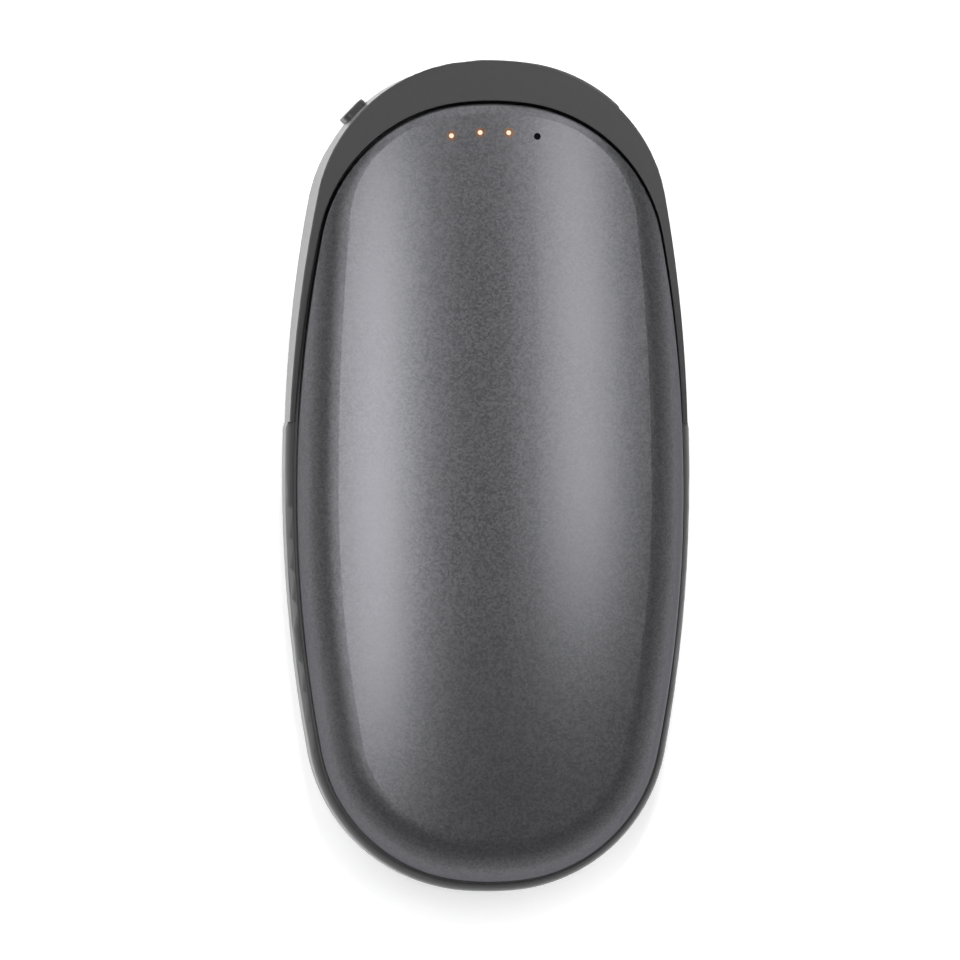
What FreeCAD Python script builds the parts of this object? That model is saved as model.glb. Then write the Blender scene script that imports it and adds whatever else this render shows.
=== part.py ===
import FreeCAD, Part
import math
import os
import Sketcher
from enum import IntEnum

# Rechargeable hand warmer: two domed metal covers on a moulded frame with a raised collar at one end.
# The model is drawn about the mid-plane between the covers, with +Y towards the collar and +Z towards
# the front cover, and each piece is lifted so that the flat of the rear cover stands on Z = 0.

SIZES = {
    # Outline of the frame
    "body_length": 110.0,
    "body_width": 54.0,
    "frame_side_drop": 7.71115,
    "frame_end_radius": 42.0,
    "frame_top_corner": 21.0,
    "frame_bottom_corner": 22.5,
    # Outline of the covers, set in from the frame
    "rim_width": 0.95,
    "cover_gap": 0.4,
    "collar_depth": 5.7,
    "cover_waist_drop": 2.1,
    "cover_side_drop": 7.45762,
    "cover_end_radius": 36.0,
    "cover_corner": 21.0,
    # Height of the covers above the mid-plane and the crown of their faces
    "cover_apex": 13.5,
    "crown_side_drop": 4.2,
    "crown_end_drop": 4.4,
    "crown_sweep_angle": 100.0,
    "rolled_edge": 7.0,
    "dome_margin": 0.25,
    "dome_overhang": 4.5,
    "dome_upper_drop": 3.86902,
    "cover_edge_round": 0.4,
    "cover_wall": 1.2,
    "rest_flat_depth": 0.4,
    # Band and collar of the frame
    "band_half": 3.8,
    "band_round": 1.8,
    "ledge_half": 2.9,
    "spigot_half": 4.0,
    "spigot_wall": 1.0,
    "spigot_clearance": 0.25,
    "collar_start": 7.0,
    "collar_half": 9.0,
    "collar_inset": 0.35,
    "collar_step": 1.1,
    "collar_draft": 6.0,
    "collar_edge_round": 0.15,
    "collar_inner_round": 0.1,
    # Seals between the covers and the ledges
    "seal_thickness": 0.5,
    "seal_clearance": 0.06,
    # Power button in the left shoulder of the collar, and the switch behind it
    "button_angle": 136.0,
    "button_width": 3.6,
    "button_height": 6.4,
    "button_corner": 1.0,
    "button_proud": 0.7,
    "button_edge_round": 0.25,
    "button_cap_depth": 2.0,
    "button_travel": 0.3,
    "button_clearance": 0.18,
    "stem_width": 2.6,
    "stem_reach": 8.9,
    "flange_width": 4.0,
    "flange_thickness": 0.8,
    "switch_width": 3.5,
    "switch_depth": 2.9,
    "switch_height": 3.4,
    "switch_gap": 1.0,
    "plunger_width": 1.4,
    "plunger_height": 1.2,
    "plunger_depth": 0.5,
    # Charging port in the right shoulder and the rubber flap over it
    "port_angle": 69.6,
    "port_width": 8.94,
    "port_height": 3.26,
    "port_depth": 6.8,
    "port_shell": 0.3,
    "port_back": 0.8,
    "port_clearance": 0.12,
    "tongue_width": 6.7,
    "tongue_thickness": 0.7,
    "tongue_recess": 1.2,
    "flap_start_angle": 47.0,
    "flap_end_angle": 93.0,
    "flap_height": 8.0,
    "flap_proud": 0.4,
    "flap_thickness": 1.4,
    "flap_corner": 1.4,
    "flap_clearance": 0.15,
    "barrel_radius": 0.7,
    "trunnion_radius": 0.4,
    "trunnion_reach": 0.6,
    "plug_width": 7.4,
    "plug_height": 1.8,
    "plug_reach": 1.5,
    # Circuit board and what stands on it
    "board_thickness": 0.8,
    "board_depth": 13.0,
    "board_clearance": 0.3,
    "board_tab_reach": 17.4,
    "board_screw_out": 10.22314,
    "board_screw_up": 4.6344,
    "led_pitch": 3.79,
    "led_inset": 3.9,
    "led_row_drop": 0.45,
    "led_width": 1.6,
    "led_depth": 0.8,
    "led_height": 0.6,
    "pin_radius": 0.4,
    "pin_clearance": 0.06,
    "pin_sink": 0.08,
    "guide_width": 12.6,
    "guide_depth": 1.5,
    "guide_thickness": 1.2,
    "guide_foot": 1.0,
    "guide_margin": 0.1,
    "coil_width": 5.0,
    "coil_height": 2.8,
    "coil_corner": 0.8,
    "coil_x": 8.3,
    "coil_rise": 4.8,
    "chip_height": 0.9,
    "control_chip": 5.0,
    "control_chip_x": 3.0,
    "control_chip_inset": 6.2,
    "charge_chip": 3.0,
    "charge_chip_x": 3.4,
    "charge_chip_inset": 5.0,
    # Battery pack: two cells side by side in a moulded cradle
    "cell_diameter": 18.4,
    "cell_length": 65.0,
    "cell_cap_radius": 3.2,
    "cell_cap_height": 0.8,
    "cell_gap": 0.4,
    "cell_clearance": 0.1,
    "pack_gap": 6.45,
    "strip_thickness": 0.2,
    "strip_half_height": 2.5,
    "strip_margin": 4.0,
    "cradle_wall": 1.0,
    "cradle_half": 3.5,
    "ear_width": 4.8,
    "ear_thickness": 2.0,
    "lower_ear_x": 9.0,
    "lower_ear_drop": 5.4,
    "upper_ear_x": 17.0,
    "upper_ear_rise": 3.9,
    "upper_ear_reach": 1.8,
    # Bosses of the frame and the screws in them
    "boss_depth": 4.5,
    "screw_radius": 0.95,
    "screw_length": 5.0,
    "screw_head_radius": 1.7,
    "screw_head_height": 1.1,
    "screw_clearance": 0.1,
    # Heater films under the covers
    "heater_gap": 0.05,
    "heater_thickness": 0.25,
    "heater_length": 60.0,
    "heater_width": 34.0,
    "sensor_radius": 0.6,
    "sensor_length": 3.6,
    # Play of small fits, and how far cutting shapes run past what they cut
    "fit_gap": 0.05,
    "overrun": 2.0,
}

# Distance below which two places count as the same
TOLERANCE = 1e-4

doc = FreeCAD.newDocument("hand_warmer")
sheet = doc.addObject("Spreadsheet::Sheet", "Sizes")
for row, (name, number) in enumerate(SIZES.items(), start=1):
    sheet.set(f"A{row}", name)
    sheet.set(f"B{row}", str(number))
    sheet.setAlias(f"B{row}", name)
doc.recompute()


class Size:
    """A length or an angle, with the sheet formula that gives it."""

    def __init__(self, value, formula):
        self.value = value
        self.formula = formula

    def __add__(self, other):
        other = as_size(other)
        return Size(self.value + other.value, f"({self.formula} + {other.formula})")

    def __sub__(self, other):
        other = as_size(other)
        return Size(self.value - other.value, f"({self.formula} - {other.formula})")

    def __mul__(self, other):
        other = as_size(other)
        return Size(self.value * other.value, f"({self.formula} * {other.formula})")

    def __truediv__(self, other):
        other = as_size(other)
        return Size(self.value / other.value, f"({self.formula} / {other.formula})")

    def __neg__(self):
        return Size(-self.value, f"(-{self.formula})")


def as_size(number):
    return number if isinstance(number, Size) else Size(float(number), repr(float(number)))


def size(name):
    return Size(float(sheet.get(name)), f"Sizes.{name}")


ZERO = as_size(0)


def bind(thing, prop, amount):
    thing.setExpression(prop, as_size(amount).formula)


def vector(x, y, z=ZERO):
    return FreeCAD.Vector(as_size(x).value, as_size(y).value, as_size(z).value)


class Oval:
    """An outline of tangent arcs: sides in two halves, two ends and four corners, about a widest line."""

    def __init__(self, half_width, waist, top, bottom, side, top_corner, bottom_corner, end,
                 upper_side=None):
        self.half_width = half_width
        self.waist = waist
        self.top = top
        self.bottom = bottom
        self.side = side
        self.upper_side = upper_side or side
        self.top_corner = top_corner
        self.bottom_corner = bottom_corner
        self.end = end

    def grown(self, amount):
        return Oval(self.half_width + amount, self.waist, self.top + amount, self.bottom - amount,
                    self.side + amount, self.top_corner + amount, self.bottom_corner + amount,
                    self.end + amount, self.upper_side + amount)

    def side_centre(self, upper):
        return vector(self.half_width - (self.upper_side if upper else self.side), self.waist)

    def corner_centre(self, upper):
        """Centre of a right-hand corner arc, which touches the side arc and the end arc from inside."""
        side = self.side_centre(upper)
        if upper:
            end = vector(ZERO, self.top - self.end)
            corner = self.top_corner.value
            from_side = self.upper_side.value - corner
        else:
            end = vector(ZERO, self.bottom + self.end)
            corner = self.bottom_corner.value
            from_side = self.side.value - corner
        from_end = self.end.value - corner
        line = end - side
        along = (from_side ** 2 - from_end ** 2 + line.Length ** 2) / (2 * line.Length)
        across = math.sqrt(from_side ** 2 - along ** 2)
        unit = line.normalize()
        outward = FreeCAD.Vector(-unit.y, unit.x, 0) * (1 if upper else -1)
        return side + unit * along + outward * across

    def arcs(self):
        """Centre, radius, start and end angle of the ten arcs, anticlockwise from the right side's foot."""
        low = self.side_centre(False)
        high = self.side_centre(True)
        top = vector(ZERO, self.top - self.end)
        bottom = vector(ZERO, self.bottom + self.end)
        upper = self.corner_centre(True)
        lower = self.corner_centre(False)
        half_turn = math.pi
        rise = heading(high, upper)
        fall = heading(low, lower)
        shoulder = heading(top, upper)
        foot = heading(bottom, lower)

        def mirrored(centre):
            return FreeCAD.Vector(-centre.x, centre.y, 0)

        return [
            (low, self.side, fall, 0),
            (high, self.upper_side, 0, rise),
            (upper, self.top_corner, rise, shoulder),
            (top, self.end, shoulder, half_turn - shoulder),
            (mirrored(upper), self.top_corner, half_turn - shoulder, half_turn - rise),
            (mirrored(high), self.upper_side, half_turn - rise, half_turn),
            (mirrored(low), self.side, half_turn, half_turn - fall),
            (mirrored(lower), self.bottom_corner, half_turn - fall, half_turn - foot),
            (bottom, self.end, half_turn - foot, 2 * half_turn + foot),
            (lower, self.bottom_corner, foot, fall),
        ]


def heading(start, end):
    return math.atan2(end.y - start.y, end.x - start.x)


def frame_oval():
    half_length = size("body_length") / 2
    side = arc_radius(half_length, size("frame_side_drop"))
    return Oval(size("body_width") / 2, ZERO, half_length, -half_length, side, size("frame_top_corner"),
                size("frame_bottom_corner"), size("frame_end_radius"))


def cover_oval():
    inset = size("rim_width") + size("cover_gap")
    half_length = size("body_length") / 2
    top = half_length - size("collar_depth") - size("cover_gap")
    bottom = inset - half_length
    side = arc_radius((top - bottom) / 2, size("cover_side_drop"))
    return Oval(size("body_width") / 2 - inset, -size("cover_waist_drop"), top, bottom, side,
                size("cover_corner"), size("cover_corner"), size("cover_end_radius"))


def dome_oval():
    """Outline of the crown and its rolled edge: just outside the cover's, and well past its collar end."""
    outline = cover_oval().grown(size("dome_margin"))
    outline.top = cover_oval().top + size("dome_overhang")
    outline.upper_side = arc_radius(outline.top - outline.waist, size("dome_upper_drop"))
    return outline


def recess_oval():
    return cover_oval().grown(size("cover_gap"))


def spigot_oval():
    return cover_oval().grown(-size("cover_wall") - size("spigot_clearance"))


def inner_oval():
    return spigot_oval().grown(-size("spigot_wall"))


def arc_radius(half_chord, rise):
    """Radius of the arc that rises by an amount over half a chord."""
    return half_chord * half_chord / (rise * 2) + rise / 2


# Outlines and places that several pieces share
COLLAR_OVAL = frame_oval().grown(-size("collar_inset"))
SHOULDER = COLLAR_OVAL.corner_centre(True)
CROWN_WIDTH_RADIUS = arc_radius(cover_oval().half_width, size("crown_side_drop"))
CROWN_LENGTH_RADIUS = arc_radius(cover_oval().top - cover_oval().waist, size("crown_end_drop"))
LIFT = size("cover_apex") - size("rest_flat_depth")
BOARD_TOP = -size("port_height") / 2
BOARD_BOTTOM = BOARD_TOP - size("board_thickness")
EAR_TOP = BOARD_BOTTOM + size("ear_thickness")
BOARD_END = inner_oval().top
BOARD_FOOT = BOARD_END - size("board_depth")
BOARD_SCREW_X = as_size(SHOULDER.x) + size("board_screw_out")
BOARD_SCREW_Y = as_size(SHOULDER.y) + size("board_screw_up")
PACK_TOP = BOARD_FOOT - size("pack_gap")
PACK_FOOT = PACK_TOP - size("cell_length")
UPPER_EAR_Y = PACK_TOP + size("upper_ear_rise")
LOWER_EAR_Y = PACK_FOOT - size("lower_ear_drop")
CELL_X = (size("cell_diameter") + size("cell_gap")) / 2
LED_PITCH_SHARES = (-1.5, -0.5, 0.5, 1.5)
SIDES = (1, -1)
TURNED_OVER = FreeCAD.Rotation(FreeCAD.Vector(0, 1, 0), 180)


def new_body(label):
    body = doc.addObject("PartDesign::Body", label)
    body.Label = label
    return body


def new_sketch(body, plane_role, name, height=ZERO):
    """Sketch on one of the body's own origin planes, moved along the plane's normal by height."""
    plane = next(item for item in body.Origin.OriginFeatures if item.Role == plane_role)
    sketch = body.newObject("Sketcher::SketchObject", name)
    sketch.AttachmentSupport = [(plane, "")]
    sketch.MapMode = "FlatFace"
    sketch.AttachmentOffset = FreeCAD.Placement(vector(ZERO, ZERO, height), FreeCAD.Rotation())
    bind(sketch, "AttachmentOffset.Base.z", height)
    return sketch


def constrain(sketch, kind, *places, amount=None):
    """Add a constraint, bound to the sheet where it has an amount."""
    if amount is None:
        return sketch.addConstraint(Sketcher.Constraint(kind, *places))
    index = sketch.addConstraint(Sketcher.Constraint(kind, *places, amount.value))
    sketch.setExpression(f"Constraints[{index}]", amount.formula)
    return index


ORIGIN = (-1, 1)
START, END, CENTRE = IntEnum("Spot", "START END CENTRE")


def hold_point(sketch, item, place, x=None, y=None):
    """Tie a point to the sketch's origin by its X and Y distances."""
    for kind, amount in (("DistanceX", x), ("DistanceY", y)):
        if amount is None:
            continue
        if amount.value < 0:
            constrain(sketch, kind, item, place, *ORIGIN, amount=-amount)
        else:
            constrain(sketch, kind, *ORIGIN, item, place, amount=amount)


def draw_arc(sketch, centre, radius, start, end):
    circle = Part.Circle(centre, FreeCAD.Vector(0, 0, 1), radius.value)
    item = sketch.addGeometry(Part.ArcOfCircle(circle, start, end), False)
    constrain(sketch, "Radius", item, amount=radius)
    return item


def draw_oval(sketch, oval):
    """The whole outline, with its ends and the lower halves of its sides held."""
    items = [draw_arc(sketch, *arc) for arc in oval.arcs()]
    for item, follower in zip(items, items[1:] + items[:1]):
        constrain(sketch, "Tangent", item, END, follower, START)
    hold_point(sketch, items[0], CENTRE, oval.half_width - oval.side, oval.waist)
    hold_point(sketch, items[0], END, y=oval.waist)
    hold_point(sketch, items[3], CENTRE, ZERO, oval.top - oval.end)
    hold_point(sketch, items[6], CENTRE, oval.side - oval.half_width, oval.waist)
    hold_point(sketch, items[6], START, y=oval.waist)
    hold_point(sketch, items[8], CENTRE, ZERO, oval.bottom + oval.end)


def draw_upper_oval(sketch, oval, lowest):
    """The outline above a straight cut at Y = lowest."""
    arcs = oval.arcs()[1:6]
    right, side, _, rise = arcs[0]
    cut = math.asin((lowest.value - oval.waist.value) / side.value)
    arcs[0] = (right, side, cut, rise)
    left, side, start, _ = arcs[4]
    arcs[4] = (left, side, start, math.pi - cut)
    items = [draw_arc(sketch, *arc) for arc in arcs]
    for item, follower in zip(items, items[1:]):
        constrain(sketch, "Tangent", item, END, follower, START)
    reach = right.x + side.value * math.cos(cut)
    base = sketch.addGeometry(Part.LineSegment(vector(-reach, lowest), vector(reach, lowest)), False)
    constrain(sketch, "Coincident", items[4], END, base, START)
    constrain(sketch, "Coincident", base, END, items[0], START)
    constrain(sketch, "Horizontal", base)
    hold_point(sketch, items[0], CENTRE, oval.half_width - oval.upper_side, oval.waist)
    hold_point(sketch, items[2], CENTRE, ZERO, oval.top - oval.end)
    hold_point(sketch, items[4], CENTRE, oval.upper_side - oval.half_width, oval.waist)
    hold_point(sketch, base, START, y=lowest)


def draw_polygon(sketch, corners):
    """Closed polygon whose corners, pairs of sizes, are each held from the origin."""
    count = len(corners)
    items = []
    for index, (x, y) in enumerate(corners):
        next_x, next_y = corners[(index + 1) % count]
        items.append(sketch.addGeometry(Part.LineSegment(vector(x, y), vector(next_x, next_y)), False))
    for index, item in enumerate(items):
        constrain(sketch, "Coincident", item, END, items[(index + 1) % count], START)
    for item, (x, y) in zip(items, corners):
        hold_point(sketch, item, START, x, y)


def draw_circle(sketch, x, y, radius):
    circle = Part.Circle(vector(x, y), FreeCAD.Vector(0, 0, 1), as_size(radius).value)
    item = sketch.addGeometry(circle, False)
    constrain(sketch, "Radius", item, amount=radius)
    hold_point(sketch, item, CENTRE, x, y)


def pad(body, sketch, length, symmetric=False, down=False):
    feature = body.newObject("PartDesign::Pad", f"{sketch.Name}_pad")
    feature.Profile = sketch
    feature.SideType = "Symmetric" if symmetric else "One side"
    feature.Reversed = down
    bind(feature, "Length", length)
    doc.recompute()
    return feature


def pocket(body, sketch, length=None, symmetric=False, up=False):
    """Cut below the sketch, above it or both ways; without a length the cut goes right through."""
    before = body.Shape.Volume
    feature = body.newObject("PartDesign::Pocket", f"{sketch.Name}_pocket")
    feature.Profile = sketch
    feature.SideType = "Symmetric" if symmetric else "One side"
    feature.Reversed = up
    if length is None:
        feature.Type = "ThroughAll"
    else:
        bind(feature, "Length", length)
    doc.recompute()
    if body.Shape.Volume >= before:
        raise RuntimeError(f"{feature.Name} cuts nothing")
    return feature


def fillet(body, radius, chosen):
    """Round the edges of the body's tip for which chosen(edge) is true."""
    base = body.Tip
    names = [f"Edge{index}" for index, edge in enumerate(base.Shape.Edges, start=1) if chosen(edge)]
    feature = body.newObject("PartDesign::Fillet", f"{base.Name}_round")
    feature.Base = (base, names)
    bind(feature, "Radius", radius)
    doc.recompute()
    return feature


def middle(edge):
    return edge.valueAt((edge.FirstParameter + edge.LastParameter) / 2)


def level(edge):
    """Height of an edge that lies flat, or None for one that climbs."""
    box = edge.BoundBox
    return (box.ZMin + box.ZMax) / 2 if box.ZLength < TOLERANCE else None


def crown_profile(sketch, drop):
    """Profile of what is cut away above the crown's arc, drop below the cover's face, and its axis."""
    waist = -size("cover_waist_drop")
    radius = CROWN_LENGTH_RADIUS - drop
    centre_height = size("cover_apex") - CROWN_LENGTH_RADIUS
    axis_height = size("cover_apex") - CROWN_WIDTH_RADIUS
    reach = size("body_length") / 2 + size("overrun")
    far = size("cover_apex") + size("body_width") / 2
    lift = math.sqrt(radius.value ** 2 - reach.value ** 2)
    ends = [vector(waist + reach * side, centre_height + lift) for side in (1, -1)]
    centre = vector(waist, centre_height)
    arc = draw_arc(sketch, centre, radius, heading(centre, ends[0]), heading(centre, ends[1]))
    corners = [vector(waist - reach, far), vector(waist + reach, far)]
    lines = [Part.LineSegment(ends[1], corners[0]), Part.LineSegment(*corners),
             Part.LineSegment(corners[1], ends[0])]
    left, top, right = [sketch.addGeometry(line, False) for line in lines]
    for item, follower in ((arc, left), (left, top), (top, right), (right, arc)):
        constrain(sketch, "Coincident", item, END, follower, START)
    hold_point(sketch, arc, CENTRE, waist, centre_height)
    constrain(sketch, "Vertical", left)
    constrain(sketch, "Vertical", right)
    hold_point(sketch, top, START, waist - reach, far)
    hold_point(sketch, top, END, waist + reach, far)
    axis = sketch.addGeometry(Part.LineSegment(vector(waist - reach, axis_height),
                                               vector(waist + reach, axis_height)), True)
    hold_point(sketch, axis, START, waist - reach, axis_height)
    hold_point(sketch, axis, END, waist + reach, axis_height)


def revolve(body, kind, sketch, angle):
    """Revolution or Groove about the sketch's construction line, the same angle each way."""
    before = body.Shape.Volume if body.Tip else 0
    feature = body.newObject(f"PartDesign::{kind}", f"{sketch.Name}_turned")
    feature.Profile = sketch
    feature.ReferenceAxis = (sketch, ["Axis0"])
    feature.Midplane = True
    bind(feature, "Angle", angle)
    doc.recompute()
    if kind == "Groove" and body.Shape.Volume >= before:
        raise RuntimeError(f"{feature.Name} cuts nothing")
    return feature


def stand(thing, turned_over=False):
    """Lift a piece from the mid-plane to its height above the table, turned over for the rear."""
    turn = TURNED_OVER if turned_over else FreeCAD.Rotation()
    thing.Placement = FreeCAD.Placement(vector(ZERO, ZERO, LIFT), turn)
    bind(thing, "Placement.Base.z", LIFT)
    return thing


def make_dome(label, inset):
    """Solid bounded by the cover's crown, rolled edge and outline, all set in by the same amount."""
    body = new_body(label)
    outline = new_sketch(body, "XY_Plane", f"{label}_outline")
    draw_oval(outline, dome_oval().grown(-inset))
    pad(body, outline, size("cover_apex") + size("overrun"))
    crown = new_sketch(body, "YZ_Plane", f"{label}_crown")
    crown_profile(crown, inset)
    revolve(body, "Groove", crown, size("crown_sweep_angle"))
    fillet(body, size("rolled_edge") - inset, is_crown_edge)
    trim = new_sketch(body, "XY_Plane", f"{label}_trim")
    draw_oval(trim, dome_oval().grown(size("overrun")))
    draw_oval(trim, cover_oval().grown(-inset))
    pocket(body, trim, up=True)
    return body


def is_crown_edge(edge):
    """True for the edges round the crowned face, which lie above the band and don't stand upright."""
    box = edge.BoundBox
    return middle(edge).z > size("band_half").value and box.ZLength < box.XLength + box.YLength


def cut(label, base, tools):
    """The base with all the tools taken away."""
    tool = tools[0]
    if len(tools) > 1:
        tool = doc.addObject("Part::MultiFuse", f"{label}_cutters")
        tool.Shapes = tools
    result = doc.addObject("Part::Cut", label)
    result.Label = label
    result.Base = base
    result.Tool = tool
    return result


def cover_pieces(label):
    """Outside and inside of a drawn shell whose open rim sits on the seal."""
    outer = make_dome(f"{label}_outside", ZERO)
    rim = size("ledge_half") + size("seal_thickness")
    foot = new_sketch(outer, "XY_Plane", f"{label}_foot", rim)
    draw_oval(foot, cover_oval().grown(size("overrun")))
    pocket(outer, foot)
    fillet(outer, size("cover_edge_round"), lambda edge: climbs_along(edge, cover_oval()))
    return outer, make_dome(f"{label}_inside", size("cover_wall"))


def cut_recesses(body, name):
    """Recess each side for a cover and its seal, down to the ledge."""
    for side, place in ((1, "front"), (-1, "rear")):
        floor = new_sketch(body, "XY_Plane", f"{name}_{place}_recess", size("ledge_half") * side)
        draw_oval(floor, recess_oval())
        pocket(body, floor, up=side > 0)


def cut_inside(body, name):
    inside = new_sketch(body, "XY_Plane", f"{name}_inside")
    draw_oval(inside, inner_oval())
    pocket(body, inside, symmetric=True)


def make_band():
    """Band between the covers with a bullnose edge, cut away where the collar takes over."""
    body = new_body("frame_band")
    outline = new_sketch(body, "XY_Plane", "band_outline")
    draw_oval(outline, frame_oval())
    pad(body, outline, size("band_half") * 2, symmetric=True)
    fillet(body, size("band_round"), lambda edge: level(edge) is not None)
    start = size("collar_start")
    edge_x = COLLAR_OVAL.half_width
    far_x = edge_x + size("overrun")
    low = start - size("collar_step") * size("overrun") / size("collar_inset")
    far_y = size("body_length") / 2 + size("overrun")
    seat = new_sketch(body, "XY_Plane", "collar_seat")
    draw_polygon(seat, [(-far_x, low), (-edge_x, start), (edge_x, start), (far_x, low),
                        (far_x, far_y), (-far_x, far_y)])
    pocket(body, seat, symmetric=True)
    cut_recesses(body, "band")
    cut_inside(body, "band")
    return body


def make_collar():
    """Raised end of the frame: a drafted wall and a sloping facet front and rear, with rounded edges."""
    body = new_body("frame_collar")
    start = size("collar_start")
    low_y = start - size("overrun")
    far_y = size("body_length") / 2 + size("overrun")
    outline = new_sketch(body, "XY_Plane", "collar_outline")
    draw_upper_oval(outline, COLLAR_OVAL, low_y)
    wall = pad(body, outline, size("collar_half") * 2, symmetric=True)
    bind(wall, "TaperAngle", -size("collar_draft"))
    doc.recompute()
    slope = (size("collar_half") - size("band_half")) / (size("body_length") / 2 - start)
    foot = size("band_half") - slope * size("overrun")
    tip = size("band_half") + slope * (far_y - start)
    high = size("collar_half") * 2
    facets = new_sketch(body, "YZ_Plane", "collar_facets")
    for side in SIDES:
        draw_polygon(facets, [(low_y, foot * side), (far_y, tip * side), (far_y, high * side),
                              (low_y, high * side)])
    pocket(body, facets, symmetric=True)
    fillet(body, size("collar_edge_round"), is_climbing)
    cut_recesses(body, "collar")
    fillet(body, size("collar_inner_round"), lambda edge: climbs_along(edge, recess_oval()))
    cut_inside(body, "collar")
    end = new_sketch(body, "XY_Plane", "collar_end")
    far_x = size("body_width")
    draw_polygon(end, [(-far_x, start), (far_x, start), (far_x, start - far_x), (-far_x, start - far_x)])
    pocket(body, end, symmetric=True)
    return body


def make_spigot():
    """Low wall inside both rims that keeps the covers in place."""
    body = new_body("frame_spigot")
    ring = new_sketch(body, "XY_Plane", "spigot_ring")
    draw_oval(ring, spigot_oval())
    draw_oval(ring, inner_oval())
    pad(body, ring, size("spigot_half") * 2, symmetric=True)
    return body


def is_climbing(edge):
    """True for the edges that climb gently, as round the collar's sloping facets."""
    box = edge.BoundBox
    return TOLERANCE < box.ZLength < box.XLength + box.YLength


def climbs_along(edge, oval):
    """True for the climbing edges above an outline."""
    if not is_climbing(edge):
        return False
    point = middle(edge)
    flat = FreeCAD.Vector(point.x, point.y, 0)
    return any(abs(flat.distanceToPoint(arc[0]) - arc[1].value) < TOLERANCE for arc in oval.arcs())


def make_box(name, lengths, corner):
    """Box with its lengths along X, Y and Z, and its lowest corner."""
    thing = doc.addObject("Part::Box", name)
    for prop, amount in zip(("Length", "Width", "Height"), lengths):
        bind(thing, prop, amount)
    thing.Placement.Base = vector(*corner)
    for axis, amount in zip("xyz", corner):
        bind(thing, f"Placement.Base.{axis}", amount)
    return thing


def make_rod(name, radius, length, foot, axis="z"):
    """Cylinder standing along an axis on the middle of its foot."""
    thing = doc.addObject("Part::Cylinder", name)
    bind(thing, "Radius", radius)
    bind(thing, "Height", length)
    turn = FreeCAD.Rotation(FreeCAD.Vector(1, 0, 0), -90 if axis == "y" else 0)
    thing.Placement = FreeCAD.Placement(vector(*foot), turn)
    for name_of_axis, amount in zip("xyz", foot):
        bind(thing, f"Placement.Base.{name_of_axis}", amount)
    return thing


def fuse(label, shapes):
    result = doc.addObject("Part::MultiFuse", label)
    result.Label = label
    result.Shapes = shapes
    return result


def common(label, base, tool):
    result = doc.addObject("Part::Common", label)
    result.Label = label
    result.Base = base
    result.Tool = tool
    return result


def group(label, things):
    """Several separate solids in one node."""
    result = doc.addObject("Part::Compound", label)
    result.Label = label
    result.Links = things
    return result


def slab(label, oval, bottom, thickness):
    """Flat plate with an oval outline."""
    body = new_body(label)
    outline = new_sketch(body, "XY_Plane", f"{label}_outline", bottom)
    draw_oval(outline, oval)
    pad(body, outline, thickness)
    return body


def shoulder_frame(angle_name, left):
    """Placement at the centre of a shoulder's arc, with X pointing outward along the named angle."""
    centre = FreeCAD.Vector(-SHOULDER.x if left else SHOULDER.x, SHOULDER.y, 0)
    return FreeCAD.Placement(centre, FreeCAD.Rotation(FreeCAD.Vector(0, 0, 1), size(angle_name).value))


def stand_at(thing, frame):
    """Put a piece that is drawn in a shoulder's frame at its place above the table."""
    thing.Placement = FreeCAD.Placement(vector(ZERO, ZERO, LIFT), FreeCAD.Rotation()).multiply(frame)
    bind(thing, "Placement.Base.z", LIFT)
    return thing


def draw_rounded_box(sketch, width, height, corner):
    """Rectangle about the sketch's origin with rounded corners."""
    half_w = width / 2
    half_h = height / 2
    inner_w = half_w - corner
    inner_h = half_h - corner
    quarter = math.pi / 2
    turns = [(inner_w, inner_h), (-inner_w, inner_h), (-inner_w, -inner_h), (inner_w, -inner_h)]
    arcs = []
    for index, (x, y) in enumerate(turns):
        arcs.append(draw_arc(sketch, vector(x, y), corner, index * quarter, (index + 1) * quarter))
        hold_point(sketch, arcs[-1], CENTRE, x, y)
    ends = [((inner_w, half_h), (-inner_w, half_h)), ((-half_w, inner_h), (-half_w, -inner_h)),
            ((-inner_w, -half_h), (inner_w, -half_h)), ((half_w, -inner_h), (half_w, inner_h))]
    for index, (start, end) in enumerate(ends):
        line = sketch.addGeometry(Part.LineSegment(vector(*start), vector(*end)), False)
        constrain(sketch, "Tangent", arcs[index], END, line, START)
        constrain(sketch, "Tangent", line, END, arcs[(index + 1) % len(arcs)], START)


def button_stations():
    """Distances from the shoulder's centre: cap face, cap foot and the inner end of the stem."""
    wall = COLLAR_OVAL.top_corner
    return wall + size("button_proud"), wall - size("button_cap_depth"), wall - size("stem_reach")


def make_button(label, grow, sink):
    """Cap, stem and retaining flange; grown and sunk, it is the space that they move in."""
    face, foot, tip = button_stations()
    body = new_body(label)
    cap = new_sketch(body, "YZ_Plane", f"{label}_cap", foot - sink)
    draw_rounded_box(cap, size("button_width") + grow * 2, size("button_height") + grow * 2,
                     size("button_corner") + grow)
    pad(body, cap, face - foot + sink * 2)
    stem = new_sketch(body, "YZ_Plane", f"{label}_stem", tip - sink)
    half = size("stem_width") / 2 + grow
    draw_polygon(stem, [(-half, -half), (half, -half), (half, half), (-half, half)])
    pad(body, stem, foot - tip + sink)
    return body


def make_power_button():
    body = make_button("power_button", ZERO, ZERO)
    face, _, tip = button_stations()

    def on_face(edge):
        return edge.BoundBox.XMin > face.value - TOLERANCE

    fillet(body, size("button_edge_round"), on_face)
    flange = new_sketch(body, "YZ_Plane", "button_flange", tip)
    half_w = size("flange_width") / 2
    half_h = size("stem_width") / 2
    draw_polygon(flange, [(-half_w, -half_h), (half_w, -half_h), (half_w, half_h), (-half_w, half_h)])
    pad(body, flange, size("flange_thickness"))
    return stand_at(body, shoulder_frame("button_angle", True))


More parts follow.
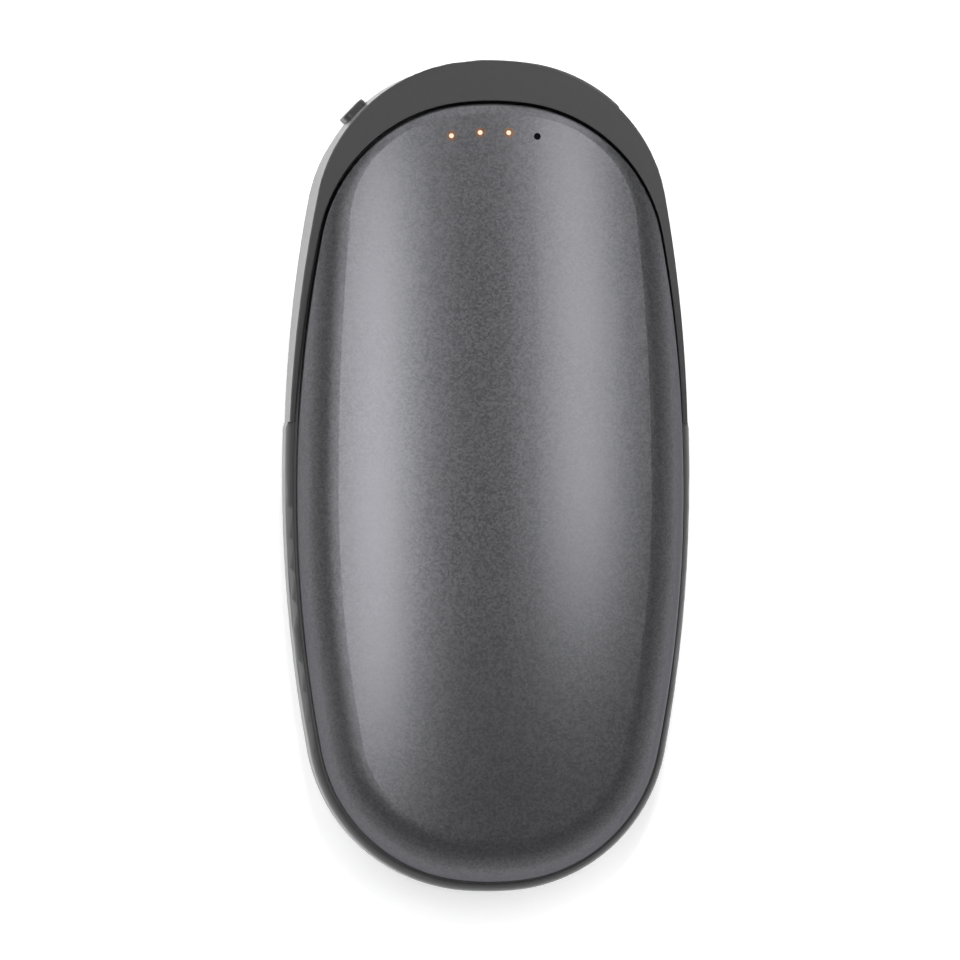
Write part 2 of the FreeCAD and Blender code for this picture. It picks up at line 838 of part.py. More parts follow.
def make_switch():
    """Side-push switch on the board and the plunger that the button's stem bears on."""
    frame = shoulder_frame("button_angle", True)
    _, _, tip = button_stations()
    front = tip - size("switch_gap")
    body = make_box("switch_case", (size("switch_depth"), size("switch_width"), size("switch_height")),
                    (front - size("switch_depth"), -size("switch_width") / 2, BOARD_TOP))
    gap = size("fit_gap")
    inner = front - size("plunger_depth")
    well = make_box("switch_well",
                    (size("plunger_depth") + size("button_travel") + gap + size("overrun"),
                     size("plunger_width") + gap * 2, size("plunger_height") + gap * 2),
                    (inner - size("button_travel") - gap, -size("plunger_width") / 2 - gap,
                     -size("plunger_height") / 2 - gap))
    stand_at(cut("switch_body", body, [well]), frame)
    plunger = make_box("switch_plunger", (tip - inner, size("plunger_width"), size("plunger_height")),
                       (inner, -size("plunger_width") / 2, -size("plunger_height") / 2))
    turn_box(plunger, frame, LIFT)


def turn_box(box, frame, lift=ZERO):
    """Put a single box, drawn in a shoulder's frame, at its place, lifted by an amount."""
    for axis in "xyz":
        box.setExpression(f"Placement.Base.{axis}", None)
    box.Placement = frame.multiply(box.Placement)
    box.Placement.Base = box.Placement.Base + vector(ZERO, ZERO, lift)


def port_stations():
    """Distances from the shoulder's centre: flap face, flap back, port mouth and port back."""
    face = COLLAR_OVAL.top_corner + size("flap_proud")
    back = face - size("flap_thickness")
    sagitta = size("port_width") * size("port_width") / (back * 8)
    mouth = back - size("flap_clearance") - sagitta
    return face, back, mouth, mouth - size("port_depth")


def make_port():
    """Charging socket: a drawn shell with a tongue inside."""
    frame = shoulder_frame("port_angle", False)
    _, _, mouth, back = port_stations()
    width, height, wall = size("port_width"), size("port_height"), size("port_shell")
    shell = new_body("port_shell")
    outside = new_sketch(shell, "YZ_Plane", "port_outside", back)
    draw_rounded_box(outside, width, height, height / 2 - size("fit_gap"))
    pad(shell, outside, size("port_depth"))
    inside = new_sketch(shell, "YZ_Plane", "port_inside", mouth)
    draw_rounded_box(inside, width - wall * 2, height - wall * 2, height / 2 - wall - size("fit_gap"))
    pocket(shell, inside, size("port_depth") - size("port_back"))
    stand_at(shell, frame)
    tongue = make_box("port_tongue",
                      (size("port_depth") - size("port_back") - size("tongue_recess"),
                       size("tongue_width"), size("tongue_thickness")),
                      (back + size("port_back"), -size("tongue_width") / 2, -size("tongue_thickness") / 2))
    turn_box(tongue, frame, LIFT)


def make_port_bay():
    """Space in the frame for the socket and the board's tab, and the mouth through to the flap."""
    _, _, mouth, back = port_stations()
    room = size("port_clearance")
    half = size("port_width") / 2 + room
    deep = size("overrun") * 2
    bay = make_box("port_bay", (size("board_tab_reach") + room - back + deep, half * 2,
                                BOARD_TOP - BOARD_BOTTOM + size("port_height") + room * 2),
                   (back - deep, -half, BOARD_BOTTOM - room))
    throat = make_box("port_throat", (mouth - back + size("overrun"), half * 2,
                                      size("port_height") + room * 2),
                      (back, -half, BOARD_TOP - room))
    tool = fuse("port_space", [bay, throat])
    tool.Placement = shoulder_frame("port_angle", False)
    return tool


def draw_flap_profile(sketch, grow):
    """Curved strip along the shoulder and the end of the collar, between two angles."""
    inner = COLLAR_OVAL.grown(size("flap_proud") - size("flap_thickness") - grow)
    outer = COLLAR_OVAL.grown(size("flap_proud") + grow)
    first = math.radians(size("flap_start_angle").value)
    last = math.radians(size("flap_end_angle").value) + grow.value / COLLAR_OVAL.top_corner.value
    shoulder, end = outer.arcs()[2:4]
    joint = shoulder[3]
    items = [draw_arc(sketch, shoulder[0], outer.top_corner, first, joint),
             draw_arc(sketch, end[0], outer.end, joint, last),
             draw_arc(sketch, end[0], inner.end, joint, last),
             draw_arc(sketch, shoulder[0], inner.top_corner, first, joint)]

    def at(centre, radius, angle):
        return centre + FreeCAD.Vector(math.cos(angle), math.sin(angle), 0) * radius.value

    far_line = Part.LineSegment(at(end[0], outer.end, last), at(end[0], inner.end, last))
    near_line = Part.LineSegment(at(shoulder[0], inner.top_corner, first),
                                 at(shoulder[0], outer.top_corner, first))
    far = sketch.addGeometry(far_line, False)
    near = sketch.addGeometry(near_line, False)
    constrain(sketch, "Coincident", items[0], END, items[1], START)
    constrain(sketch, "Coincident", items[1], END, far, START)
    constrain(sketch, "Coincident", far, END, items[2], END)
    constrain(sketch, "Coincident", items[2], START, items[3], END)
    constrain(sketch, "Coincident", items[3], START, near, START)
    constrain(sketch, "Coincident", near, END, items[0], START)


def hinge_centre():
    """Axis of the flap's barrel, which is as proud of the wall as the flap."""
    reach = COLLAR_OVAL.top_corner + size("flap_proud") - size("barrel_radius")
    angle = math.radians(size("flap_start_angle").value)
    return (as_size(SHOULDER.x + reach.value * math.cos(angle)),
            as_size(SHOULDER.y + reach.value * math.sin(angle)))


def make_flap(label, grow, pin_grow):
    """Rubber flap with its barrel and trunnions; grown, it is the recess that it lies in."""
    body = new_body(label)
    strip = new_sketch(body, "XY_Plane", f"{label}_strip")
    draw_flap_profile(strip, grow)
    pad(body, strip, size("flap_height") + grow * 2, symmetric=True)
    top = size("flap_height").value / 2 + grow.value
    longest = size("flap_thickness").value * 2
    far_x = SHOULDER.x + size("flap_thickness").value

    def at_far_end(edge):
        point = middle(edge)
        return abs(abs(point.z) - top) < TOLERANCE and edge.Length < longest and point.x < far_x

    fillet(body, size("flap_corner") + grow, at_far_end)
    x, y = hinge_centre()
    barrel = new_sketch(body, "XY_Plane", f"{label}_barrel")
    draw_circle(barrel, x, y, size("barrel_radius") + grow)
    pad(body, barrel, size("flap_height") + grow * 2, symmetric=True)
    trunnion = new_sketch(body, "XY_Plane", f"{label}_trunnion")
    draw_circle(trunnion, x, y, size("trunnion_radius") + pin_grow)
    pad(body, trunnion, size("flap_height") + size("trunnion_reach") * 2 + grow * 2, symmetric=True)
    return body


def make_port_flap():
    body = make_flap("port_flap_strip", ZERO, ZERO)
    _, back, _, _ = port_stations()
    plug = make_box("port_flap_plug", (size("plug_reach") + size("flap_thickness") / 2,
                                       size("plug_width"), size("plug_height")),
                    (back - size("plug_reach"), -size("plug_width") / 2, -size("plug_height") / 2))
    turn_box(plug, shoulder_frame("port_angle", False))
    stand(fuse("port_flap", [body, plug]))


def boss_places():
    """X, Y and seat height of the six screws: lower ears, upper ears and board."""
    places = []
    for side in SIDES:
        places.append((size("lower_ear_x") * side, LOWER_EAR_Y, EAR_TOP))
        places.append((size("upper_ear_x") * side, UPPER_EAR_Y, EAR_TOP))
        places.append((BOARD_SCREW_X * side, BOARD_SCREW_Y, BOARD_TOP))
    return places


def make_mid_frame():
    """The moulded frame with its bosses, and with the button's and the port's openings cut."""
    ear = size("ear_width")
    bottom = BOARD_BOTTOM - size("boss_depth")
    wall = cover_oval()
    boxes = []
    for side in SIDES:
        name = "right" if side > 0 else "left"
        x = size("lower_ear_x") * side - ear / 2
        boxes.append(make_box(f"{name}_lower_boss",
                              (ear, LOWER_EAR_Y + ear / 2 - wall.bottom, size("boss_depth")),
                              (x, wall.bottom, bottom)))
        for row, x, y, half in (("upper_ear", size("upper_ear_x"), UPPER_EAR_Y, size("upper_ear_reach")),
                                ("board_screw", BOARD_SCREW_X, BOARD_SCREW_Y, ear / 2)):
            inner_x = x - ear / 2
            reach = wall.half_width - inner_x
            corner_x = inner_x if side > 0 else -wall.half_width
            boxes.append(make_box(f"{name}_{row}_boss", (reach, half * 2, size("boss_depth")),
                                  (corner_x, y - half, bottom)))
    limit = make_dome("boss_limit", size("cover_wall") + size("spigot_clearance"))
    limit.Placement = FreeCAD.Placement(FreeCAD.Vector(), TURNED_OVER)
    bosses = common("frame_bosses", fuse("boss_blocks", boxes), limit)
    holes = []
    for index, (x, y, _) in enumerate(boss_places()):
        holes.append(make_rod(f"pilot_hole_{index}", size("screw_radius") + size("fit_gap"),
                              size("boss_depth") + size("overrun"), (x, y, bottom - size("overrun") / 2)))
    button_room = make_button("button_space", size("button_clearance"),
                              size("button_travel") + size("button_clearance"))
    button_room.Placement = shoulder_frame("button_angle", True)
    flap_room = make_flap("flap_space", size("flap_clearance"), size("fit_gap"))
    tools = [button_room, make_port_bay(), flap_room] + holes
    moulding = fuse("frame_moulding", [make_band(), make_collar(), make_spigot(), bosses])
    stand(cut("mid_frame", moulding, tools))


def make_seal(label, rear):
    """Gasket between a ledge of the frame and the rim of a cover."""
    body = new_body(label)
    ring = new_sketch(body, "XY_Plane", f"{label}_ring", size("ledge_half"))
    draw_oval(ring, cover_oval().grown(size("cover_gap") - size("seal_clearance")))
    draw_oval(ring, cover_oval().grown(-size("cover_wall")))
    pad(body, ring, size("seal_thickness"))
    stand(body, rear)


def led_row():
    """Y of the middle of the row of status lights, set in from the end of the cover."""
    return cover_oval().top - size("led_inset")


def led_places():
    """X and Y of the four status lights, in a row that bends a little with the end of the cover."""
    return [(size("led_pitch") * share, led_row() - size("led_row_drop") * (abs(share) > 1))
            for share in LED_PITCH_SHARES]


def make_front_cover():
    outer, inner = cover_pieces("front_cover")
    holes = [make_rod(f"led_hole_{index}", size("pin_radius") + size("pin_clearance"), size("cover_apex"),
                      (x, y, size("band_half"))) for index, (x, y) in enumerate(led_places())]
    stand(cut("front_cover", outer, [inner] + holes))


def make_rear_cover():
    """The rear cover, with a shallow flat on which the warmer lies still."""
    outer, inner = cover_pieces("rear_cover")
    half = size("body_width") / 2
    flat = make_box("rest_flat", (half * 2, size("body_length"), size("overrun")),
                    (-half, -size("body_length") / 2, LIFT))
    stand(cut("rear_cover", outer, [inner, flat]), True)


def make_heater(label, rear):
    """Thin film that follows the inside of a cover."""
    body = new_body(label)
    film = new_sketch(body, "YZ_Plane", f"{label}_section")
    outer_drop = size("cover_wall") + size("heater_gap")
    inner_drop = outer_drop + size("heater_thickness")
    waist = -size("cover_waist_drop")
    centre_z = size("cover_apex") - CROWN_LENGTH_RADIUS
    axis_z = size("cover_apex") - CROWN_WIDTH_RADIUS
    half = size("heater_length") / 2
    centre = vector(waist, centre_z)
    ends = []
    arcs = []
    for drop in (outer_drop, inner_drop):
        radius = CROWN_LENGTH_RADIUS - drop
        lean = math.asin(half.value / radius.value)
        arcs.append(draw_arc(film, centre, radius, math.pi / 2 - lean, math.pi / 2 + lean))
        hold_point(film, arcs[-1], CENTRE, waist, centre_z)
        rise = radius.value * math.cos(lean)
        ends.append([vector(waist + half * side, centre_z + rise) for side in SIDES])
    for place, (upper, lower) in ((START, (ends[0][0], ends[1][0])), (END, (ends[0][1], ends[1][1]))):
        line = film.addGeometry(Part.LineSegment(upper, lower), False)
        constrain(film, "Coincident", line, START, arcs[0], place)
        constrain(film, "Coincident", line, END, arcs[1], place)
        constrain(film, "Vertical", line)
        hold_point(film, line, START, x=waist + half * (1 if place == START else -1))
    axis_line = Part.LineSegment(vector(waist - half, axis_z), vector(waist + half, axis_z))
    axis = film.addGeometry(axis_line, True)
    hold_point(film, axis, START, waist - half, axis_z)
    hold_point(film, axis, END, waist + half, axis_z)
    lean_share = size("heater_width") / 2 / (CROWN_WIDTH_RADIUS - outer_drop)
    sweep = Size(2 * math.degrees(math.asin(lean_share.value)), f"2 * asin({lean_share.formula})")
    revolve(body, "Revolution", film, sweep)
    stand(body, rear)


def make_cells():
    radius = size("cell_diameter") / 2
    can = size("cell_length") - size("cell_cap_height")
    for side, name in ((1, "right_cell"), (-1, "left_cell")):
        x = CELL_X * side
        shell = make_rod(f"{name}_can", radius, can, (x, PACK_FOOT, ZERO), "y")
        cap = make_rod(f"{name}_cap", size("cell_cap_radius"), size("cell_length"),
                       (x, PACK_FOOT, ZERO), "y")
        stand(fuse(name, [shell, cap]))


def make_strips():
    """Nickel strips that join the cells' ends."""
    half = CELL_X + size("strip_margin")
    thick = size("strip_thickness")
    for name, y in (("positive_strip", PACK_TOP), ("negative_strip", PACK_FOOT - thick)):
        make_box(name, (half * 2, thick, size("strip_half_height") * 2),
                 (-half, y, LIFT - size("strip_half_height")))


def make_cradle():
    """Moulded tray round the two cells, with ears that are screwed to the frame."""
    wall = size("cradle_wall")
    end_room = size("strip_thickness") + size("cell_clearance")
    half_x = CELL_X + size("cell_diameter") / 2 + size("cell_clearance") + wall
    bottom = PACK_FOOT - end_room - wall
    top = PACK_TOP + end_room + wall
    half_z = size("cradle_half")
    solids = [make_box("cradle_block", (half_x * 2, top - bottom, half_z * 2), (-half_x, bottom, -half_z))]
    ear = size("ear_width")
    thick = size("ear_thickness")
    holes = []
    for side in SIDES:
        name = "right" if side > 0 else "left"
        low_end = LOWER_EAR_Y - ear / 2
        solids.append(make_box(f"{name}_lower_ear", (ear, bottom - low_end + wall / 2, thick),
                               (size("lower_ear_x") * side - ear / 2, low_end, BOARD_BOTTOM)))
        high_end = UPPER_EAR_Y + size("upper_ear_reach")
        solids.append(make_box(f"{name}_upper_ear", (ear, high_end - top + wall / 2, thick),
                               (size("upper_ear_x") * side - ear / 2, top - wall / 2, BOARD_BOTTOM)))
        holes.append(make_rod(f"{name}_trough", size("cell_diameter") / 2 + size("cell_clearance"),
                              size("cell_length") + end_room * 2,
                              (CELL_X * side, PACK_FOOT - end_room, ZERO), "y"))
    strip = CELL_X + size("strip_margin") + size("cell_clearance")
    slot_half = size("strip_half_height") + size("cell_clearance")
    for name, y in (("upper", PACK_TOP), ("lower", PACK_FOOT - end_room)):
        holes.append(make_box(f"{name}_strip_slot", (strip * 2, end_room, slot_half * 2),
                              (-strip, y, -slot_half)))
    holes += screw_holes("cradle")
    limit = slab("cradle_limit", inner_oval().grown(-size("board_clearance")), -half_z, half_z * 2)
    blank = common("cradle_blank", fuse("cradle_blocks", solids), limit)
    stand(cut("cell_cradle", blank, holes))


def screw_holes(name):
    bottom = BOARD_BOTTOM - size("fit_gap")
    radius = size("screw_radius") + size("screw_clearance")
    length = size("ear_thickness") + size("overrun")
    return [make_rod(f"{name}_hole_{index}", radius, length, (x, y, bottom))
            for index, (x, y, _) in enumerate(boss_places())]


def make_screws():
    screws = []
    for index, (x, y, seat) in enumerate(boss_places()):
        head = make_rod(f"screw_head_{index}", size("screw_head_radius"), size("screw_head_height"),
                        (x, y, seat))
        shank = make_rod(f"screw_shank_{index}", size("screw_radius"), size("screw_length"),
                         (x, y, seat - size("screw_length") + size("fit_gap")))
        screws.append(fuse(f"screw_{index}", [head, shank]))
    stand(group("frame_screws", screws))


def make_board():
    """Circuit board across the top of the inside, with a tab under the charging port."""
    plate = slab("board_plate", inner_oval().grown(-size("board_clearance")), BOARD_BOTTOM,
                 size("board_thickness"))
    _, _, _, back = port_stations()
    deep = size("overrun") * 2
    tab = make_box("board_tab", (size("board_tab_reach") - back + deep, size("port_width"),
                                 size("board_thickness")),
                   (back - deep, -size("port_width") / 2, BOARD_BOTTOM))
    turn_box(tab, shoulder_frame("port_angle", False))
    half = size("body_width") / 2
    length = size("body_length")
    below = make_box("board_trim", (half * 2, length, size("board_thickness") + size("overrun") * 2),
                     (-half, BOARD_FOOT - length, BOARD_BOTTOM - size("overrun")))
    stand(cut("circuit_board", fuse("board_blank", [plate, tab]), [below] + screw_holes("board")))


def make_status_lights():
    """Four lights on the board, and the clear guide that carries them up to the cover's holes."""
    width, depth, height = size("led_width"), size("led_depth"), size("led_height")
    bar_bottom = BOARD_TOP + height + size("guide_margin")
    lights = []
    pins = []
    for index, (x, y) in enumerate(led_places()):
        lights.append(make_box(f"status_light_{index}", (width, depth, height),
                               (x - width / 2, y - depth / 2, BOARD_TOP)))
        pins.append(make_rod(f"guide_pin_{index}", size("pin_radius"), size("cover_apex") * 2,
                             (x, y, bar_bottom)))
    stand(group("status_lights", lights))
    front = led_row() + size("pin_radius") + size("fit_gap") - size("guide_depth")
    bar = make_box("guide_bar", (size("guide_width"), size("guide_depth"), size("guide_thickness")),
                   (-size("guide_width") / 2, front, bar_bottom))
    foot_height = bar_bottom - BOARD_TOP + size("guide_thickness") / 2
    feet = [make_box(f"guide_foot_{side}", (size("guide_foot"), size("guide_depth") / 2, foot_height),
                     (size("led_pitch") * side - size("guide_foot") / 2, front, BOARD_TOP))
            for side in SIDES]
    trimmed = common("guide_pins", fuse("long_pins", pins), make_dome("pin_limit", size("pin_sink")))
    stand(fuse("light_guide", [bar, trimmed] + feet))


def make_board_parts():
    """Power coil and chips on the board."""
    coil = new_body("power_coil")
    outline = new_sketch(coil, "XY_Plane", "coil_outline", BOARD_TOP)
    draw_rounded_box(outline, size("coil_width"), size("coil_width"), size("coil_corner"))
    pad(coil, outline, size("coil_height"))
    coil_y = BOARD_FOOT + size("coil_rise")
    coil.Placement = FreeCAD.Placement(vector(size("coil_x"), coil_y, LIFT), FreeCAD.Rotation())
    for name, side in (("control_chip", -1), ("charge_chip", 1)):
        width = size(name)
        y = BOARD_END - size(f"{name}_inset")
        make_box(name, (width, width, size("chip_height")),
                 (size(f"{name}_x") * side - width / 2, y - width / 2, BOARD_TOP + LIFT))


def make_sensor():
    """Temperature sensor under the front heater."""
    top = size("cover_apex") - size("cover_wall") - size("heater_gap") * 2 - size("heater_thickness")
    length = size("sensor_length")
    make_rod("temperature_sensor", size("sensor_radius"), length,
             (ZERO, -size("cover_waist_drop") - length / 2, top - size("sensor_radius") + LIFT), "y")


NODES = ["front_cover", "rear_cover", "mid_frame", "front_seal", "rear_seal", "front_heater", "rear_heater",
         "temperature_sensor", "left_cell", "right_cell", "positive_strip", "negative_strip", "cell_cradle",
         "frame_screws", "circuit_board", "status_lights", "light_guide", "power_coil", "control_chip",
         "charge_chip", "switch_body", "switch_plunger", "power_button", "port_shell", "port_tongue",
         "port_flap"]


def build():
    make_front_cover()
    make_rear_cover()
    make_mid_frame()
    for side, rear in (("front", False), ("rear", True)):
        make_seal(f"{side}_seal", rear)
        make_heater(f"{side}_heater", rear)
    make_sensor()
    make_cells()
    make_strips()
    make_cradle()
    make_screws()
    make_board()
    make_status_lights()
    make_board_parts()
    make_switch()
    make_power_button()
    make_port()
    make_port_flap()
    doc.recompute()


def check_and_write():
    """Stop at any failed object; then write each piece to its own file."""
    for thing in doc.Objects:
        if {"Invalid", "Error"} & set(thing.State):
            raise RuntimeError(f"{thing.Label} failed: {thing.State}")
    pieces = [doc.getObjectsByLabel(label)[0] for label in NODES]
    for piece in pieces:
        if piece.Shape.isNull() or not piece.Shape.isValid():
            raise RuntimeError(f"{piece.Label} has no valid shape")
    os.makedirs("parts", exist_ok=True)
    for piece in pieces:
        print(f"{piece.Label}: {len(piece.Shape.Solids)} solids, {piece.Shape.Volume:.1f} mm3")
        piece.Shape.exportStep(f"parts/{piece.Label}.step")


def print_axes():
    """Where the flap turns and which way the button is pressed, in the frame of the finished model."""
    x, y = hinge_centre()
    print(f"flap hinge at X {x.value:.4f}, Y {y.value:.4f}, along Z")
    angle = math.radians(size("button_angle").value)
    print(f"button pressed along {-math.cos(angle):.6f}, {-math.sin(angle):.6f}, 0")


build()
check_and_write()
print_axes()
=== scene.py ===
import math

import bpy
from mathutils import Matrix, Vector
from mathutils.bvhtree import BVHTree


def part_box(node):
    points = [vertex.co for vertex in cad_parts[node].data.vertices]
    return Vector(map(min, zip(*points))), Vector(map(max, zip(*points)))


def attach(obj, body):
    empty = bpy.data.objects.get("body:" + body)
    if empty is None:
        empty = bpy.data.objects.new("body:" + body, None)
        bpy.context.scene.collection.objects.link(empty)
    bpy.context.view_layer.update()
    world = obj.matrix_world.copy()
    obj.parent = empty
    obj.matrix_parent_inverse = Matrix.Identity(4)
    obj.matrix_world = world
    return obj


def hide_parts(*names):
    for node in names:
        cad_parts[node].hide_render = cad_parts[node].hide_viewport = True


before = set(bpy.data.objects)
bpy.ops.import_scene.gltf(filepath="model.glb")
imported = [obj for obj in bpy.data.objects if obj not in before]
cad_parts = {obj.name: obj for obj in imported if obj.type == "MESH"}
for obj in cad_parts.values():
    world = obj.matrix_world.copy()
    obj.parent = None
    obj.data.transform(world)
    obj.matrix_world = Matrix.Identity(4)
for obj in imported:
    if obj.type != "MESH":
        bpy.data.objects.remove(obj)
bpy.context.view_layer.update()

# Rechargeable hand warmer: its finishes, the upright wall of its collar, and the studio round it.
# Lengths are in metres, angles in degrees, and grain in cells per metre.
MID_PLANE = 0.0131
MIDDLE = Vector((0.0, 0.0, MID_PLANE))

# Collar: in the solids its outer wall leans in, and its face slopes up towards the end.
# Its edge is what moves with the wall. The recess round the flap stays as it is.
COLLAR_START = 0.0069
COLLAR_MIDDLE = Vector((0.0, 0.02, MID_PLANE))
COLLAR_LEAN = 6.0
COLLAR_LEAN_SLACK = 0.02
COLLAR_RISE = 0.0052
COLLAR_RUN = 0.048
COLLAR_EDGE = 0.00024
SHOULDER_SHARE = 0.9
RECESS_GAP = 0.0005

# Status lights: four in a bowed row, of which the three left ones are lit
LIGHT_PITCH = 0.00379
LIGHT_ROW = 0.045
END_LIGHT_ROW = 0.04455
LIT_LIGHTS = (
    (-1.5 * LIGHT_PITCH, END_LIGHT_ROW),
    (-0.5 * LIGHT_PITCH, LIGHT_ROW),
    (0.5 * LIGHT_PITCH, LIGHT_ROW),
)
DARK_LIGHT_X = 0.0038
TIP_HEIGHT = 0.006
CORE_INNER = 0.00028
CORE_OUTER = 0.00039
CORE_COLOUR = (1.0, 0.84, 0.64)
RIM_COLOUR = (0.5, 0.17, 0.05)
RIM_GLOW = 0.3
# Painted glow on the cover metal round each lit light, standing in for the lights' spill on it: its radii,
# tint, light colour and strength
PAINTED_GLOW_INNER = 0.00046
PAINTED_GLOW_OUTER = 0.00075
PAINTED_GLOW_COLOUR = (0.2, 0.09, 0.04)
PAINTED_GLOW_LIGHT = (1.0, 0.42, 0.14)
PAINTED_GLOW_STRENGTH = 0.05

# Cover metal: bead-blasted and anodised
METAL_COLOUR = (0.1, 0.1, 0.107)
METAL_EDGE_TINT = (0.5, 0.5, 0.52)
METAL_ROUGHNESS = 0.275
PIT_GRAIN = 5200.0
PIT_DEPTH = 0.00002
PIT_STRENGTH = 0.35
SPARKLE_GRAIN = 4200.0
SPARKLE_ROUGHNESS = 0.05
SPARKLE_FULL_SHARE = 1 / 1.2
SPARKLE_SHADES = (0.84, 1.18)
MARK_GRAIN = 55.0
MARK_SPAN = (0.45, 0.75)
MARK_SHARE = 0.25
MARK_SHADE = 1.12

# Moulded plastics: colour, roughness and grain
FINE_GRAIN = 3600.0
MOULDED = {
    "frame_plastic": ((0.03, 0.03, 0.031), 0.3, FINE_GRAIN),
    "button_plastic": ((0.02, 0.02, 0.021), 0.42, FINE_GRAIN),
    "sensor_bead": ((0.02, 0.02, 0.022), 0.3, FINE_GRAIN),
    "cradle_plastic": ((0.05, 0.05, 0.052), 0.5, 1500.0),
    "coil_ferrite": ((0.03, 0.03, 0.032), 0.55, 2500.0),
    "chip_epoxy": ((0.012, 0.012, 0.013), 0.45, 5000.0),
    "plunger_plastic": ((0.6, 0.58, 0.52), 0.4, 3000.0),
    "tongue_plastic": ((0.015, 0.015, 0.016), 0.4, 4000.0),
}
SKIN_DEPTH = 0.000012
MOULDED_BUMP = 0.25
MOULDED_ROUGHNESS_SPREAD = 0.04
MOULDED_SHADES = (0.88, 1.12)

# Brushed metals: colour, roughness, and grain along X, Y and Z
BRUSHED = {
    "nickel": ((0.6, 0.57, 0.53), 0.3, (40.0, 40.0, 4000.0)),
    "screw_steel": ((0.52, 0.52, 0.54), 0.3, (3000.0, 3000.0, 300.0)),
    "switch_case": ((0.5, 0.5, 0.52), 0.35, (300.0, 300.0, 4000.0)),
    "port_steel": ((0.58, 0.58, 0.6), 0.28, (400.0, 400.0, 5000.0)),
}
BRUSHED_BUMP = 0.15
BRUSHED_ROUGHNESS_SPREAD = 0.1
BRUSHED_SHADES = (0.8, 1.15)

# Rubbers: colour
RUBBERS = {
    "seal_rubber": (0.045, 0.045, 0.046),
    "flap_rubber": (0.05, 0.05, 0.052),
}
RUBBER_ROUGHNESS = 0.62
RUBBER_GRAIN = 2600.0
RUBBER_BUMP = 0.3
RUBBER_BLOTCHES = 700.0
RUBBER_SHADES = (0.8, 1.2)
RUBBER_SHEEN = 0.15

# Heater film, with its etched track
FILM_COLOUR = (0.46, 0.2, 0.045)
FILM_ROUGHNESS = 0.3
FILM_BUMP = 0.2
TRACK_COLOUR = (0.32, 0.25, 0.2)
TRACK_SCALE = 160.0
TRACK_SPAN = (0.55, 0.62)

# Cells: a shrunk sleeve over a bare can
WRAP_COLOUR = (0.03, 0.2, 0.3)
WRAP_ROUGHNESS = 0.28
WRAP_ROUGHNESS_SPREAD = 0.08
WRAP_CREASES = 420.0
WRAP_BLOTCHES = 150.0
WRAP_BUMP = 0.15
CAN_COLOUR = (0.55, 0.54, 0.52)
CAN_BARE = 0.0011

# Circuit board, with its tracks under the mask
MASK_COLOUR = (0.012, 0.1, 0.035)
MASK_ROUGHNESS = 0.35
MASK_BUMP = 0.3
BOARD_TRACK_SCALE = 260.0
BOARD_TRACK_WIDTH = 0.06
BOARD_TRACK_SHADE = 2.2

# Light guide and the lights below it
GUIDE_COLOUR = (0.85, 0.83, 0.78)
GUIDE_ROUGHNESS = 0.25
GUIDE_TIP_SHADE = 0.05
GUIDE_GLOSS = 0.5
GUIDE_GRAIN = 1800.0
GUIDE_BUMP = 0.1
# Colour of the unlit light's pipe: painted shade, near-black
UNLIT_PIPE_PAINTED_SHADE = (0.004, 0.004, 0.004)
LAMP_COLOUR = (0.82, 0.8, 0.74)
LAMP_ROUGHNESS = 0.35
LAMP_ROUGHNESS_SPREAD = 0.08
LAMP_BLOTCHES = 900.0
LENS_COLOUR = (0.8, 0.6, 0.12)
LENS_DEPTH = 0.0001

# What each piece is made of
NODE_FINISHES = {
    "front_cover": "front_metal",
    "rear_cover": "rear_metal",
    "mid_frame": "frame_plastic",
    "front_seal": "seal_rubber",
    "rear_seal": "seal_rubber",
    "front_heater": "heater_film",
    "rear_heater": "heater_film",
    "temperature_sensor": "sensor_bead",
    "left_cell": "cell_wrap",
    "right_cell": "cell_wrap",
    "positive_strip": "nickel",
    "negative_strip": "nickel",
    "cell_cradle": "cradle_plastic",
    "frame_screws": "screw_steel",
    "circuit_board": "solder_mask",
    "status_lights": "light_chip",
    "light_guide": "guide_clear",
    "power_coil": "coil_ferrite",
    "control_chip": "chip_epoxy",
    "charge_chip": "chip_epoxy",
    "switch_body": "switch_case",
    "switch_plunger": "plunger_plastic",
    "power_button": "button_plastic",
    "port_shell": "port_steel",
    "port_tongue": "tongue_plastic",
    "port_flap": "flap_rubber",
}

# Camera: looks down at the front cover, from a little to the left and towards the low end
CAMERA_YAW = 6.6
CAMERA_PITCH = 1.5
CAMERA_DISTANCE = 1.0
CAMERA_LENS = 282.5
AIM = Vector((-0.0008, -0.0005, MID_PLANE))

# Strip lights above the object and along it: a narrow one and a wide fill to its left, and one to its right
STRIP_DISTANCE = 0.55
STRIPS = {
    "left_strip": {"angle": -17.6, "width": 0.078, "start": -0.16, "end": 0.27, "power": 0.92},
    "left_fill": {"angle": -33.0, "width": 0.26, "start": -0.2, "end": 0.27, "power": 0.5},
    "right_strip": {"angle": 24.0, "width": 0.13, "start": -0.07, "end": 0.36, "power": 0.95},
}

# Square lights beyond the collar: a soft one, and a small one for the shadow at the low end.
# The small one isn't reflected in the metal.
TOP_LIGHT_PLACE = Vector((0.0, 0.5, 0.6))
TOP_LIGHT_SIZE = 0.3
TOP_LIGHT_POWER = 0.5
SHADE_LIGHT_PLACE = Vector((-0.05, 0.26, 0.8))
SHADE_LIGHT_SIZE = 0.08
SHADE_LIGHT_POWER = 2.0

# Surround that is white low down and dimmer overhead, and a floor of matt white paper
WHITE = (1.0, 1.0, 1.0)
SURROUND_LOW = 1.0
SURROUND_HIGH = 0.4
SURROUND_RISE = (0.05, 0.6)
FLOOR_SIZE = 4.0
FLOOR_COLOUR = (0.92, 0.92, 0.92)
FLOOR_ROUGHNESS = 1.0
FLOOR_GLOW = 0.3

# Sockets of a mix node that mixes colours
MIX_SHARE = 0
MIX_FIRST = 6
MIX_SECOND = 7
MIX_RESULT = 2


def opaque(colour):
    return (*colour, 1.0)


